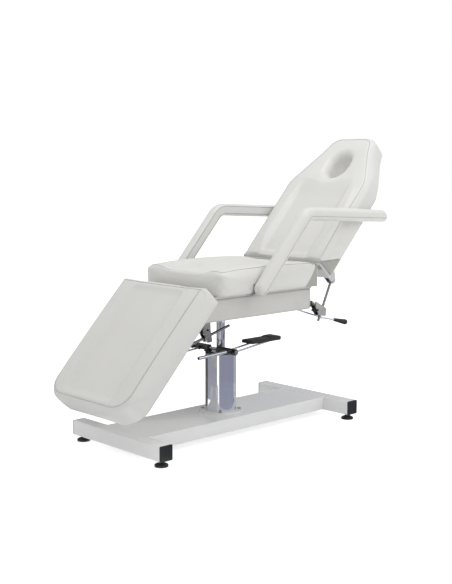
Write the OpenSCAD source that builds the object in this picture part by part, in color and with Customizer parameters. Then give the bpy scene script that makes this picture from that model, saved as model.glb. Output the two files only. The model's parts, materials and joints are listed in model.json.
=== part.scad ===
// Facial treatment bed on a hydraulic column: an H-shaped floor base, a pedal pump with a
// telescoping piston, and a seat with a reclining backrest, a drop leg rest and two armrests.
// Millimetres. +Z is up, +Y points to the head end, +X to the side that carries the levers.
// The origin lies on the floor under the middle of the bed's overall width and length.

/* [Base] */
// Length of each floor crossbar, end caps included
crossbar_length = 550; // [500:10:600]
// Width and height of the square crossbar tube
crossbar_size = 60; // [54:2:64]
// Distance from the column to the centre line of each crossbar
crossbar_offset = 527; // [500:5:560]
// Clear height under the crossbars
foot_gap = 24; // [22:1:28]
// Width of the folded plate that joins the crossbars
plate_width = 264; // [230:2:300]
// Wall of the crossbar tubes and thickness of the folded plate
steel_wall = 3; // [2.5:0.5:4]

/* [Column] */
// Radius of the chrome shroud
shroud_radius = 65; // [64:1:70]
// Height of the shroud's top edge above the floor
shroud_top = 328; // [320:1:332]
// Radius of the piston rod
piston_radius = 18; // [15:1:20]
// Height of the pedal shaft above the floor
pedal_shaft_height = 350; // [348:1:352]
// Length of a pedal from its shaft to the tip of its pad
pedal_reach = 272; // [250:2:290]

/* [Seat] */
// Width of the seat cushion
seat_width = 476; // [470:2:478]
// Depth of the seat cushion, front to back
seat_depth = 548; // [540:2:556]
// Height of the seat's underside above the floor
seat_height = 600; // [600:1:601]
// Thickness of the seat cushion
seat_thickness = 97; // [90:1:100]
// Height of the upholstered apron under the seat board
apron_height = 88; // [80:1:90]
// Width of the apron
apron_width = 400; // [396:2:410]

/* [Backrest] */
// Angle of the backrest above horizontal
back_angle = 47; // [40:1:50]
// Length of the backrest from its hinge
back_length = 738; // [720:2:760]
// Widest part of the backrest
back_width = 484; // [470:2:484]
// Width of the head end of the backrest
head_width = 236; // [220:2:250]
// Thickness of the backrest cushion
back_thickness = 93; // [86:1:96]
// Distance from the hinge to the middle of the breathing hole
breathing_hole_at = 564; // [550:2:576]

/* [Leg rest] */
// Angle of the leg rest below horizontal
leg_angle = 47; // [40:1:48]
// Length of the leg rest
leg_length = 590; // [580:5:610]
// Width of the leg rest
leg_width = 506; // [470:2:510]
// Thickness of the leg rest cushion
leg_thickness = 97; // [90:1:100]

/* [Armrests] */
// Slope of the armrest's rising part above horizontal
arm_slope = 48; // [46:1:50]
// Height of the armrest's upper surface above the floor
arm_top = 936; // [920:1:950]
// Thickness of the armrest, seen from the side
arm_thickness = 54; // [48:1:56]
// Width of the armrest pad, seen from the front
arm_pad_width = 46.5; // [40:0.5:50]

/* [Hidden] */

// Running clearance of a shaft in its bore, on the radius
fit = 0.05;

// Heights of the stacked base parts
plate_top = foot_gap + crossbar_size - 3;
flange_thickness = 8;
flange_top = plate_top + flange_thickness;
cap_thickness = 6;
cap_top = shroud_top + cap_thickness;
cylinder_radius = 30;
cylinder_bore = 25 + fit;

// Levelling feet: distance of each foot from the middle of its crossbar
foot_x = crossbar_length / 2 - 29;
foot_stem_radius = 5;

// Pedals: the shaft lies across the bed just in front of the piston
shaft_y = -40;
shaft_radius = 6;
hub_radius = 13;
hub_inner = 44;
hub_outer = 133;
pedal_arm_gap = 44;
pedal_x = 94;
pedal_rise = 0.118;
front_pedal_droop = 12;

// Seat frame stack
board_thickness = 12;
board_bottom = seat_height - board_thickness;
rail_height = 35;
member_height = 17.7;
plate_thickness = 8;
rail_bottom = board_bottom - rail_height;
member_bottom = rail_bottom - member_height;
mounting_bottom = member_bottom - plate_thickness;
collar_radius = 28;
seat_front = -214;
seat_back = seat_front + seat_depth;
seat_top = seat_height + seat_thickness;
apron_bottom = board_bottom - apron_height;
apron_wall = 12;
apron_rear = seat_back + 13;

// Hinge lines: the back hinge lies just under the seat's top, the leg hinge under the board
back_hinge_y = seat_back + 14;
back_hinge_z = seat_top - 9;
leg_hinge_y = seat_front - 6;
leg_hinge_z = board_bottom - 4;
leg_board_low = 4;
leg_cushion_low = leg_board_low + board_thickness;
leg_start = -8;
back_top = 7;
knuckle_radius = 5;
hinge_pin_radius = 2.5;
back_hinge_half = 220;
leg_hinge_half = 180;

// Struts: points are [y, z] measured from the column line and the floor
strut_radius = 5.5;
back_strut_x = 205;
back_pin = [15, -132];
back_strut_length = 183;
back_strut_tilt = 64.2;
leg_strut_x = 80;
leg_pin = [-312.4, -11];
leg_strut_length = 411;
leg_strut_tilt = 14.9;
strut_pin_radius = 4;
lug_gap = 18;
lug_thickness = 5;

// Release lever: a bent rod in the plane x = lever_x
lever_x = 180;
lever_rod = 3.5;
lever_pivot = [240, 510];
lever_join = [425, 451];
lever_stem_end = [508, 433];
lever_tip = [591, 413];

// Armrest geometry, as [y, z] points
arm_pivot = [-28, 621];
arm_end_y = 735;
arm_fall = 3;
arm_inner_x = 244;
arm_plate_thickness = 4.5;
arm_bolt_radius = 5;

// The bed's overall length is centred on the origin, which leaves the column at column_y
head_reach = back_hinge_y + back_length * cos(back_angle)
    + (back_thickness - back_top) * sin(back_angle);
foot_reach = leg_hinge_y - (leg_length - leg_start) * cos(leg_angle)
    - (leg_cushion_low + leg_thickness) * sin(leg_angle);
column_y = -(head_reach + foot_reach) / 2;

white_steel = "whitesmoke";
vinyl = "seashell";

// ---- geometry helpers ----

function heading(angle) = [cos(angle), sin(angle)];
function turned(point, angle) = [
    point[0] * cos(angle) - point[1] * sin(angle),
    point[0] * sin(angle) + point[1] * cos(angle)
];
function unit(v) = v / norm(v);

// Points of the round that replaces one corner of an outline
function corner_round(before, corner, after, radius, steps) =
    let (
        u = unit(before - corner),
        v = unit(after - corner),
        half = acos(u * v) / 2,
        middle = corner + unit(u + v) * radius / sin(half),
        start = corner + u * radius / tan(half) - middle,
        finish = corner + v * radius / tan(half) - middle,
        first = atan2(start[1], start[0]),
        sweep = atan2(finish[1], finish[0]) - first,
        turn = sweep > 180 ? sweep - 360 : sweep < -180 ? sweep + 360 : sweep
    )
    [for (i = [0 : steps]) middle + radius * heading(first + turn * i / steps)];

// Outline through corners, each given as [x, y, radius]
function rounded_outline(corners, steps = 8) =
    let (n = len(corners))
    [for (i = [0 : n - 1])
        let (
            before = corners[(i + n - 1) % n],
            here = corners[i],
            after = corners[(i + 1) % n]
        )
        each corner_round([before[0], before[1]], [here[0], here[1]],
            [after[0], after[1]], here[2], steps)
    ];

// Where two lines cross, each given by a point and an angle
function crossing(p, p_angle, q, q_angle) =
    let (
        a = heading(p_angle),
        b = heading(q_angle),
        gap = q - p,
        t = (gap[0] * b[1] - gap[1] * b[0]) / (a[0] * b[1] - a[1] * b[0])
    )
    p + t * a;

module block(low, high) {
    translate(low) cube(high - low);
}

module round_bar(from, to, radius) {
    span = to - from;
    length = norm(span);
    translate(from)
        rotate([0, acos(span[2] / length), atan2(span[1], span[0])])
            cylinder(h = length, r = radius, $fn = 40);
}

module cross_bar(x_low, x_high, at, radius) {
    translate([x_low, at[0], at[1]])
        rotate([0, 90, 0])
            cylinder(h = x_high - x_low, r = radius, $fn = 48);
}

// A plate in a side plane: the outline's points are [y, z]
module side_plate(x_low, x_high) {
    translate([x_low, 0, 0])
        rotate([90, 0, 90])
            linear_extrude(height = x_high - x_low) children();
}

module both_sides() {
    children();
    mirror([1, 0, 0]) children();
}

module on_column() {
    translate([0, column_y, 0]) children();
}

module on_back() {
    on_column()
        translate([0, back_hinge_y, back_hinge_z])
            rotate([back_angle, 0, 0]) children();
}

module on_leg() {
    on_column()
        translate([0, leg_hinge_y, leg_hinge_z])
            rotate([leg_angle, 0, 0]) children();
}

// ---- base ----

module at_flange_bolts() {
    for (turn = [45 : 90 : 315])
        rotate([0, 0, turn]) translate([77, 0, 0]) children();
}

module base_plate() {
    half = plate_width / 2;
    reach = crossbar_offset - crossbar_size / 2;
    color(white_steel)
    on_column()
        difference() {
            rotate([90, 0, 0])
                linear_extrude(height = 2 * reach, center = true)
                    difference() {
                        polygon(rounded_outline([
                            [-half, foot_gap + 2, 0.5], [half, foot_gap + 2, 0.5],
                            [half, plate_top, 5], [-half, plate_top, 5]
                        ]));
                        polygon(rounded_outline([
                            [-half + steel_wall, foot_gap - 5, 0.5],
                            [half - steel_wall, foot_gap - 5, 0.5],
                            [half - steel_wall, plate_top - steel_wall, 2],
                            [-half + steel_wall, plate_top - steel_wall, 2]
                        ]));
                    }
            at_flange_bolts()
                translate([0, 0, plate_top - steel_wall - 1])
                    cylinder(h = steel_wall + 2, r = 4, $fn = 32);
        }
}

module square_outline(size, radius) {
    half = size / 2;
    polygon(rounded_outline([
        [-half, -half, radius], [half, -half, radius],
        [half, half, radius], [-half, half, radius]
    ]));
}

module crossbar() {
    length = crossbar_length - 8;
    difference() {
        translate([0, 0, foot_gap + crossbar_size / 2])
            rotate([90, 0, 90])
                linear_extrude(height = length, center = true)
                    difference() {
                        square_outline(crossbar_size, 5);
                        square_outline(crossbar_size - 2 * steel_wall, 2.5);
                    }
        for (x = [-foot_x, foot_x])
            translate([x, 0, foot_gap - 1])
                cylinder(h = steel_wall + 2, r = foot_stem_radius + fit, $fn = 48);
    }
}

module foot_crossbar() {
    color(white_steel)
    on_column() translate([0, -crossbar_offset, 0]) crossbar();
}

module head_crossbar() {
    color(white_steel)
    on_column() translate([0, crossbar_offset, 0]) crossbar();
}

module end_cap() {
    outer = crossbar_length / 2;
    translate([outer - 4, 0, foot_gap + crossbar_size / 2])
        rotate([90, 0, 90]) {
            linear_extrude(height = 4) square_outline(crossbar_size, 5);
            translate([0, 0, -14])
                linear_extrude(height = 14)
                    difference() {
                        square_outline(crossbar_size - 2 * steel_wall - 0.4, 2.3);
                        square_outline(crossbar_size - 2 * steel_wall - 7, 2);
                    }
        }
}

module crossbar_end_caps() {
    color("black")
    on_column()
        for (y = [-crossbar_offset, crossbar_offset])
            both_sides() translate([0, y, 0]) end_cap();
}

module levelling_nuts() {
    color("silver")
    on_column()
        for (x = [-foot_x, foot_x], y = [-crossbar_offset, crossbar_offset])
            translate([x, y, foot_gap + steel_wall])
                difference() {
                    cylinder(h = 8, r = 9.5, $fn = 6);
                    translate([0, 0, -1])
                        cylinder(h = 10, r = foot_stem_radius + fit, $fn = 48);
                }
}

module bolt_down(head_radius, head_height, shank_radius, shank_length) {
    cylinder(h = head_height, r = head_radius, $fn = 6);
    translate([0, 0, -shank_length])
        cylinder(h = shank_length, r = shank_radius, $fn = 32);
}

module base_bolts() {
    color("silver")
    on_column()
        at_flange_bolts()
            translate([0, 0, flange_top]) bolt_down(7, 6, 4, flange_thickness + 6);
}

module pump_flange() {
    color(white_steel)
    on_column()
        difference() {
            translate([0, 0, plate_top])
                cylinder(h = flange_thickness, r = 92, $fn = 96);
            at_flange_bolts()
                translate([0, 0, plate_top - 1])
                    cylinder(h = flange_thickness + 2, r = 4, $fn = 32);
        }
}

module pump_cylinder() {
    gland = 12;
    top = shroud_top - 6;
    color("dimgray")
    on_column()
        difference() {
            translate([0, 0, flange_top])
                cylinder(h = top - flange_top, r = cylinder_radius, $fn = 64);
            translate([0, 0, flange_top + 8])
                cylinder(h = top - gland - flange_top - 8, r = cylinder_bore, $fn = 64);
            translate([0, 0, top - gland - 1])
                cylinder(h = gland + 2, r = piston_radius + fit, $fn = 64);
        }
}

module pump_shroud() {
    color("silver")
    on_column()
        translate([0, 0, flange_top])
            difference() {
                cylinder(h = shroud_top - flange_top, r = shroud_radius, $fn = 96);
                translate([0, 0, -1])
                    cylinder(h = shroud_top, r = shroud_radius - 2.5, $fn = 96);
            }
}

// The plunger stands beside the piston, under the rear pedal's hub
plunger_at = [49, -14];
plunger_radius = 6;

module shroud_cap() {
    color("black")
    on_column()
        difference() {
            union() {
                translate([0, 0, shroud_top])
                    cylinder(h = cap_thickness, r = shroud_radius, $fn = 96);
                translate([0, 0, shroud_top - 5])
                    cylinder(h = 6, r = shroud_radius - 2.8, $fn = 96);
            }
            translate([0, 0, shroud_top - 6])
                cylinder(h = 14, r = piston_radius + 0.6, $fn = 64);
            translate([plunger_at[0], plunger_at[1], shroud_top - 6])
                cylinder(h = 14, r = plunger_radius + fit, $fn = 48);
        }
}

module pump_head() {
    ear_low = 27;
    ear_high = 43.5;
    color("dimgray")
    on_column()
        difference() {
            union() {
                block([-ear_high, shaft_y - 16, cap_top], [ear_high, shaft_y + 16, cap_top + 4]);
                both_sides()
                    side_plate(ear_low, ear_high)
                        polygon(rounded_outline([
                            [shaft_y - 14, cap_top + 2, 1], [shaft_y + 14, cap_top + 2, 1],
                            [shaft_y + 12, pedal_shaft_height + 13, 11],
                            [shaft_y - 12, pedal_shaft_height + 13, 11]
                        ]));
            }
            cross_bar(-50, 50, [shaft_y, pedal_shaft_height], shaft_radius);
        }
}

module pedal_shaft() {
    at = [shaft_y, pedal_shaft_height];
    color("gray")
    on_column() {
        cross_bar(-hub_outer - 6, hub_outer + 6, at, shaft_radius);
        both_sides() cross_bar(hub_outer + 1, hub_outer + 4, at, 10);
    }
}

module levelling_foot(x, y) {
    color("black")
    on_column()
        translate([x, y, 0]) {
            cylinder(h = 7, r = 26, $fn = 64);
            translate([0, 0, 7]) cylinder(h = 3, r1 = 26, r2 = 22, $fn = 64);
            translate([0, 0, 10]) cylinder(h = 6, r1 = 16, r2 = 11, $fn = 64);
            translate([0, 0, 10]) cylinder(h = foot_gap - 10.3, r = 10, $fn = 64);
            translate([0, 0, 12])
                cylinder(h = foot_gap + 28, r = foot_stem_radius, $fn = 48);
        }
}

module foot_front_left() {
    levelling_foot(-foot_x, -crossbar_offset);
}

module foot_front_right() {
    levelling_foot(foot_x, -crossbar_offset);
}

module foot_rear_left() {
    levelling_foot(-foot_x, crossbar_offset);
}

module foot_rear_right() {
    levelling_foot(foot_x, crossbar_offset);
}

// ---- pedals: drawn around the shaft with the pad towards +Y ----

module on_shaft() {
    on_column() translate([0, shaft_y, pedal_shaft_height]) children();
}

pad_front = 100;
pedal_tube_x = 112;
loop_rod = 4;

module pedal_hub() {
    difference() {
        union() {
            cross_bar(hub_inner, hub_outer, [0, 0], hub_radius);
            for (x = [pedal_x - pedal_arm_gap / 2, pedal_x + pedal_arm_gap / 2])
                translate([x, 0, 0])
                    rotate([-90, 0, 0]) cylinder(h = 20, r = 9, $fn = 40);
        }
        cross_bar(hub_inner - 1, hub_outer + 1, [0, 0], shaft_radius + fit);
    }
}

// A chrome rod bent into a long U: two arms rise from the hub and meet at the pad's tip
module pedal_loop() {
    near = pedal_x - pedal_arm_gap / 2;
    far = pedal_x + pedal_arm_gap / 2;
    tip = pedal_reach - 12;
    rise = (tip - 30) * pedal_rise;
    for (x = [near, far]) {
        round_bar([x, 20, 0], [x, 30, 0], loop_rod);
        translate([x, 30, 0]) sphere(r = loop_rod + 0.3, $fn = 32);
        round_bar([x, 30, 0], [x, tip, rise], loop_rod);
        translate([x, tip, rise]) sphere(r = loop_rod + 0.3, $fn = 32);
    }
    round_bar([near, tip, rise], [far, tip, rise], loop_rod);
}

// Rubber shoe over the loop, with a raised lip at its tip
module pedal_pad() {
    low = 20;
    top = 34;
    lip = 38;
    difference() {
        side_plate(pedal_x - pedal_arm_gap / 2 - 8, pedal_x + pedal_arm_gap / 2 + 8)
            polygon(rounded_outline([
                [pad_front, low, 3], [pedal_reach, low, 6], [pedal_reach, lip, 7],
                [pedal_reach - 42, lip, 6], [pedal_reach - 60, top, 8], [pad_front, top, 5]
            ]));
        pedal_loop();
    }
}

module rear_pedal_hub() {
    color("black")
    on_shaft()
        difference() {
            union() {
                pedal_hub();
                round_bar([pedal_tube_x, -5, 5.5], [pedal_tube_x, -34, 4], 9.5);
                block([hub_inner, 2, -5], [hub_inner + 12, 34, -1]);
            }
            cross_bar(hub_inner - 1, hub_outer + 1, [0, 0], shaft_radius + fit);
        }
}

module rear_pedal_loop() {
    color("silver") on_shaft() pedal_loop();
}

module rear_pedal_pad() {
    color([0.14, 0.14, 0.13]) on_shaft() pedal_pad();
}

module rear_pedal_tube() {
    fall = atan2(1.5, 29);
    color("silver")
    on_shaft()
        translate([pedal_tube_x, -34, 4])
            rotate([90 + fall, 0, 0])
                difference() {
                    cylinder(h = 150, r = 7, $fn = 48);
                    translate([0, 0, 70]) cylinder(h = 82, r = 5.2, $fn = 48);
                }
}

module facing_front() {
    on_shaft() rotate([0, 0, 180]) rotate([-front_pedal_droop, 0, 0]) children();
}

module front_pedal_hub() {
    color("black") facing_front() pedal_hub();
}

module front_pedal_loop() {
    color("silver") facing_front() pedal_loop();
}

module front_pedal_pad() {
    color([0.14, 0.14, 0.13]) facing_front() pedal_pad();
}

module pump_plunger() {
    dome = pedal_shaft_height - 11.3;
    color("silver")
    on_column()
        translate([plunger_at[0], plunger_at[1], dome]) {
            sphere(r = plunger_radius, $fn = 48);
            translate([0, 0, -75]) cylinder(h = 75, r = plunger_radius, $fn = 48);
        }
}

// ---- lifting column ----

head_at = 166;

module piston_rod() {
    color("silver")
    on_column() {
        translate([0, 0, head_at + 16])
            cylinder(h = mounting_bottom + 25 - head_at - 16, r = piston_radius, $fn = 64);
        translate([0, 0, mounting_bottom - 7.3])
            cylinder(h = 7, r = collar_radius, $fn = 64);
    }
}

module piston_head() {
    color("gray")
    on_column()
        translate([0, 0, head_at]) cylinder(h = 16, r = cylinder_bore - fit, $fn = 64);
}

// ---- seat frame ----

module mounting_plate() {
    color("dimgray")
    on_column()
        difference() {
            union() {
                block([-95, -95, mounting_bottom], [95, 95, member_bottom]);
                translate([0, 0, mounting_bottom]) cylinder(h = 25, r = 32, $fn = 64);
            }
            translate([0, 0, mounting_bottom - 1])
                cylinder(h = 28, r = piston_radius + fit, $fn = 64);
        }
}

module cross_members() {
    color("dimgray")
    on_column()
        for (y = [-170, -70, 70, 250])
            block([-175, y - 20, member_bottom], [175, y + 20, rail_bottom]);
}

module seat_rails() {
    color("dimgray")
    on_column()
        both_sides()
            difference() {
                block([130, seat_front + 52, rail_bottom], [165, seat_back - 14, board_bottom]);
                block([132, seat_front + 50, rail_bottom + 2], [163, seat_back, board_bottom - 2]);
            }
}

module seat_board() {
    half = apron_width / 2;
    color("burlywood")
    on_column() block([-half, seat_front + 2, board_bottom], [half, seat_back, seat_height]);
}

module seat_rear_board() {
    color(white_steel)
    on_column()
        block([-228, seat_back, seat_height - 2], [228, seat_back + 8, back_hinge_z - 8]);
}

module seat_cushion() {
    half = seat_width / 2;
    color(vinyl)
    on_column()
        difference() {
            translate([0, 0, seat_height])
                linear_extrude(height = seat_thickness)
                    polygon(rounded_outline([
                        [-half, seat_front, 26], [half, seat_front, 26],
                        [half, seat_back, 4], [-half, seat_back, 4]
                    ]));
            both_sides()
                side_plate(half - 26, half + 1)
                    polygon([
                        [seat_back + 1, seat_top - 4], [seat_back - 4, seat_top - 4],
                        [seat_back - 73, seat_height - 1], [seat_back + 1, seat_height - 1]
                    ]);
        }
}

apron_corner = 43;

module apron_side_panels() {
    outer = apron_width / 2;
    color(vinyl)
    on_column()
        both_sides()
            difference() {
                side_plate(outer - apron_wall, outer)
                    polygon([
                        [seat_front + 2, board_bottom], [seat_front - 61, apron_bottom],
                        [apron_rear - apron_corner, apron_bottom],
                        [apron_rear - apron_corner, board_bottom]
                    ]);
                cross_bar(outer - apron_wall - 1, outer - 4, lever_pivot,
                    strut_pin_radius + fit);
            }
}

module apron_front_panel() {
    inner = apron_width / 2 - apron_wall;
    top = board_bottom - 20;
    slope = 63 / apron_height;
    high = seat_front + 2 - 20 * slope;
    low = seat_front - 61;
    color(vinyl)
    on_column()
        side_plate(-inner, inner)
            polygon([[high, top], [low, apron_bottom], [low + 14, apron_bottom], [high + 14, top]]);
}

module apron_outline(inset) {
    half = apron_width / 2 - inset;
    polygon(rounded_outline([
        [-half, 0, 1], [half, 0, 1],
        [half, apron_rear - inset, 30 - inset], [-half, apron_rear - inset, 30 - inset]
    ]));
}

module apron_rear_panel() {
    half = apron_width / 2;
    color(vinyl)
    on_column()
        translate([0, 0, apron_bottom])
            linear_extrude(height = apron_height - 0.3)
                intersection() {
                    difference() {
                        apron_outline(0);
                        apron_outline(apron_wall);
                    }
                    translate([-half, apron_rear - apron_corner])
                        square([2 * half, apron_corner]);
                }
}

// ---- hinges: five knuckles share one pin; the seat owns the outer and middle ones ----

function seat_knuckles(half) = [for (i = [0, 2, 4]) -half + i * 2 * half / 5];
function moving_knuckles(half) = [for (i = [1, 3]) -half + i * 2 * half / 5];

module knuckles(starts, length) {
    for (x = starts)
        cross_bar(x + 0.3, x + length - 0.3, [0, 0], knuckle_radius);
}

module pin_bore(half) {
    cross_bar(-half - 1, half + 1, [0, 0], hinge_pin_radius + fit);
}

// A leaf that stands against an end board: the strip hangs below the hinge line
module standing_leaf(starts, half, side) {
    length = 2 * half / 5;
    difference() {
        union() {
            knuckles(starts, length);
            for (x = starts)
                block([x + 0.3, side > 0 ? 4 : -6, -9], [x + length - 0.3, side > 0 ? 6 : -4, 0]);
            block([-half, side > 0 ? 4 : -6, -38], [half, side > 0 ? 6 : -4, -8]);
        }
        pin_bore(half);
    }
}

// A leaf that lies under a board: the strip runs level with the hinge line
module lying_leaf(starts, half, side) {
    length = 2 * half / 5;
    difference() {
        union() {
            knuckles(starts, length);
            for (x = starts)
                block([x + 0.3, side > 0 ? 2 : -9, 1.8], [x + length - 0.3, side > 0 ? 9 : -2, 4]);
            block([-half, side > 0 ? 8 : -46, 1.8], [half, side > 0 ? 46 : -8, 4]);
        }
        pin_bore(half);
    }
}

module at_back_hinge() {
    on_column() translate([0, back_hinge_y, back_hinge_z]) children();
}

module at_leg_hinge() {
    on_column() translate([0, leg_hinge_y, leg_hinge_z]) children();
}

module back_hinge_seat_leaf() {
    color("silver")
    at_back_hinge() standing_leaf(seat_knuckles(back_hinge_half), back_hinge_half, -1);
}

module leg_hinge_seat_leaf() {
    color("silver")
    at_leg_hinge() lying_leaf(seat_knuckles(leg_hinge_half), leg_hinge_half, 1);
}

module hinge_pins() {
    color("gray") {
        at_back_hinge()
            cross_bar(-back_hinge_half - 2, back_hinge_half + 2, [0, 0], hinge_pin_radius);
        at_leg_hinge()
            cross_bar(-leg_hinge_half - 2, leg_hinge_half + 2, [0, 0], hinge_pin_radius);
    }
}

module back_hinge_leaf() {
    color("silver")
    on_back() standing_leaf(moving_knuckles(back_hinge_half), back_hinge_half, 1);
}

module leg_hinge_leaf() {
    color("silver")
    on_leg() lying_leaf(moving_knuckles(leg_hinge_half), leg_hinge_half, -1);
}

// ---- clamps and strut brackets ----

module strut_cheeks(x) {
    inner = lug_gap / 2;
    for (side = [x - inner - lug_thickness, x + inner])
        side_plate(side, side + lug_thickness) children();
}

leg_clamp_y = -158;

module leg_clamp_bracket() {
    color("gray")
    on_column()
        difference() {
            union() {
                strut_cheeks(leg_strut_x)
                    polygon(rounded_outline([
                        [leg_clamp_y - 25, member_bottom, 1], [leg_clamp_y - 22, 440, 20],
                        [leg_clamp_y, 399, 5], [leg_clamp_y + 26, 399, 8],
                        [leg_clamp_y + 16, 450, 20], [leg_clamp_y + 14, member_bottom, 1]
                    ]));
                block([leg_strut_x - 14, leg_clamp_y - 25, member_bottom - 5],
                    [leg_strut_x + 14, leg_clamp_y + 14, member_bottom]);
            }
            cross_bar(leg_strut_x - 20, leg_strut_x + 20, [leg_clamp_y, 450], strut_pin_radius);
        }
}

module back_clamp_bracket() {
    front = apron_rear;
    color("gray")
    on_column()
        difference() {
            union() {
                strut_cheeks(back_strut_x)
                    polygon(rounded_outline([
                        [front - 1, 506, 1], [front + 20, 470, 6],
                        [front + 62, 462, 8], [front + 66, 496, 10], [front - 1, 532, 1]
                    ]));
                block([back_strut_x - 14 - 20, front, 506], [back_strut_x - 10, front + 4, 532]);
            }
            cross_bar(back_strut_x - 20, back_strut_x + 20, [front + 10, 494], strut_pin_radius);
        }
}

module clamp_jaws() {
    inner = lug_gap / 2 - 0.5;
    color("black")
    on_column() {
        block([leg_strut_x - inner, leg_clamp_y - 16, 444.2],
            [leg_strut_x + inner, leg_clamp_y + 14, 462]);
        cross_bar(leg_strut_x - 17, leg_strut_x + 17, [leg_clamp_y, 450], strut_pin_radius);
        block([back_strut_x - inner, apron_rear + 3, 486],
            [back_strut_x + inner, apron_rear + 14, 502]);
        cross_bar(back_strut_x - 17, back_strut_x + 17, [apron_rear + 10, 494],
            strut_pin_radius);
    }
}

// ---- armrest fixings ----

module armrest_brackets() {
    outer = seat_width / 2;
    color("gray")
    on_column()
        both_sides() {
            block([apron_width / 2, arm_pivot[0] - 20, seat_height - 5],
                [outer + 5.5, arm_pivot[0] + 20, seat_height]);
            block([outer + 1.5, arm_pivot[0] - 20, seat_height - 5],
                [outer + 5.5, arm_pivot[0] + 20, arm_pivot[1] + 18]);
        }
}

module armrest_bolts() {
    start = seat_width / 2 + 5.5;
    color("silver")
    on_column()
        both_sides() {
            cross_bar(start, start + 13, arm_pivot, arm_bolt_radius);
            cross_bar(start + 6.5, start + 11, arm_pivot, 8.5);
        }
}

// ---- backrest: drawn flat, with the hinge line at the origin and the length along +Y ----

back_cushion_start = 14;
back_shoulder = 455;

function back_outline(inset, start) =
    let (half = back_width / 2 - inset, head = head_width / 2 - inset)
    rounded_outline([
        [-half, start, 5], [half, start, 5], [half, back_shoulder, 110],
        [head + 34, back_length - 98, 110], [head, back_length - inset, 42],
        [-head, back_length - inset, 42], [-head - 34, back_length - 98, 110],
        [-half, back_shoulder, 110]
    ]);

module breathing_hole(grow) {
    wide = 54 + grow;
    translate([0, breathing_hole_at]) {
        square([2 * wide, 30], center = true);
        for (y = [-15, 15])
            translate([0, y]) circle(r = wide, $fn = 72);
    }
}

module back_cushion() {
    half = back_width / 2;
    low = back_top - back_thickness;
    color(vinyl)
    on_back()
        difference() {
            translate([0, 0, low])
                linear_extrude(height = back_thickness)
                    difference() {
                        polygon(back_outline(0, back_cushion_start));
                        breathing_hole(0);
                    }
            both_sides()
                side_plate(half - 26, half + 1)
                    polygon([
                        [back_cushion_start - 1, back_top - 4], [back_cushion_start + 4, back_top - 4],
                        [back_cushion_start + 92, low - 1], [back_cushion_start - 1, low - 1]
                    ]);
        }
}

module back_board() {
    top = back_top - back_thickness;
    color("burlywood")
    on_back()
        translate([0, 0, top - board_thickness])
            linear_extrude(height = board_thickness)
                difference() {
                    polygon(back_outline(16, back_cushion_start));
                    breathing_hole(4);
                }
}

module back_end_board() {
    low = back_top - back_thickness - board_thickness;
    color(white_steel)
    on_back() block([-226, 6, low], [226, back_cushion_start, -8]);
}

module back_strut_bracket() {
    board_low = back_top - back_thickness - board_thickness;
    color("gray")
    on_back()
        difference() {
            union() {
                strut_cheeks(back_strut_x)
                    polygon(rounded_outline([
                        [6, board_low, 1], [5, back_pin[1] - 10, 8],
                        [26, back_pin[1] - 10, 8], [58, board_low, 1]
                    ]));
                block([back_strut_x - 14, 30, board_low - 4], [back_strut_x + 14, 58, board_low]);
            }
            cross_bar(back_strut_x - 20, back_strut_x + 20, back_pin, strut_pin_radius + fit);
        }
}

// ---- leg rest: drawn flat, with the hinge line at the origin and the length along -Y ----

function leg_outline(inset) =
    let (half = leg_width / 2 - inset, foot = -leg_length + leg_start + inset)
    rounded_outline([
        [-half, leg_start - inset / 3, 12], [-half, foot, 92 - inset],
        [half, foot, 92 - inset], [half, leg_start - inset / 3, 12]
    ]);

module leg_cushion() {
    color(vinyl)
    on_leg()
        translate([0, 0, leg_cushion_low])
            linear_extrude(height = leg_thickness) polygon(leg_outline(0));
}

module leg_board() {
    color("burlywood")
    on_leg()
        translate([0, 0, leg_board_low])
            linear_extrude(height = board_thickness) polygon(leg_outline(18));
}

module leg_strut_bracket() {
    color("gray")
    on_leg()
        difference() {
            union() {
                strut_cheeks(leg_strut_x)
                    polygon(rounded_outline([
                        [leg_pin[0] - 26, leg_board_low, 1], [leg_pin[0] - 9, leg_pin[1] - 10, 7],
                        [leg_pin[0] + 9, leg_pin[1] - 10, 7], [leg_pin[0] + 26, leg_board_low, 1]
                    ]));
                block([leg_strut_x - 14, leg_pin[0] - 40, leg_board_low - 4],
                    [leg_strut_x + 14, leg_pin[0] - 16, leg_board_low]);
            }
            cross_bar(leg_strut_x - 20, leg_strut_x + 20, leg_pin, strut_pin_radius + fit);
        }
}

// ---- struts: a rod with an eye and a cross pin at its driven end ----

module strut(x, pin, far_end) {
    cross_bar(x - strut_radius, x + strut_radius, pin, 9);
    cross_bar(x - lug_gap / 2 - lug_thickness - 1, x + lug_gap / 2 + lug_thickness + 1, pin,
        strut_pin_radius);
    round_bar([x, pin[0], pin[1]], [x, far_end[0], far_end[1]], strut_radius);
}

module back_strut() {
    pin = [back_hinge_y, back_hinge_z] + turned(back_pin, back_angle);
    color("silver")
    on_column() strut(back_strut_x, pin, pin - back_strut_length * heading(back_strut_tilt));
}

module leg_strut() {
    pin = [leg_hinge_y, leg_hinge_z] + turned(leg_pin, leg_angle);
    color("silver")
    on_column() strut(leg_strut_x, pin, pin + leg_strut_length * heading(leg_strut_tilt));
}

// ---- release lever ----

function lever_point(p) = [lever_x, p[0], p[1]];

module release_lever() {
    color("silver")
    on_column() {
        cross_bar(lever_x - 5, apron_width / 2 - 4.5, lever_pivot, strut_pin_radius);
        round_bar(lever_point(lever_pivot), lever_point(lever_join - [3, -1]), lever_rod);
        round_bar(lever_point([apron_rear + 13, 490]), lever_point(lever_join), lever_rod - 0.6);
        round_bar(lever_point(lever_join + [1, 0]), lever_point(lever_stem_end), lever_rod);
        translate(lever_point(lever_join)) sphere(r = lever_rod + 2, $fn = 32);
    }
}

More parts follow.
